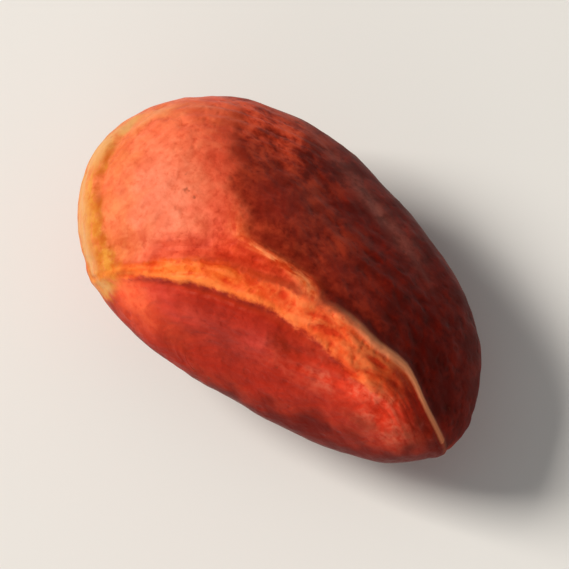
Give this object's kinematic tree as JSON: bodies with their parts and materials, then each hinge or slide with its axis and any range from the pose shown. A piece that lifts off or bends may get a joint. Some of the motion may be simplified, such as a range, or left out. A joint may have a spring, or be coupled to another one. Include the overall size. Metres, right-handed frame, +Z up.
{
  "type": "kola nut",
  "caption": "Whole kola nut lying on its side: a plump egg-shaped seed with pressed sides, a raised suture and a small flat spot to rest on.",
  "frame": {"origin": "centre of the nut's box, at the height of the surface that it lies on", "axes": "+X along the nut from its broad end to its blunt tip, +Y toward its right flank, +Z up"},
  "size_m": [0.042, 0.026, 0.0202],
  "materials": {
    "nut_skin": "satin seed skin, red to orange and maroon"
  },
  "bodies": {
    "root": {"kola_nut": "nut_skin"}
  },
  "joints": []
}
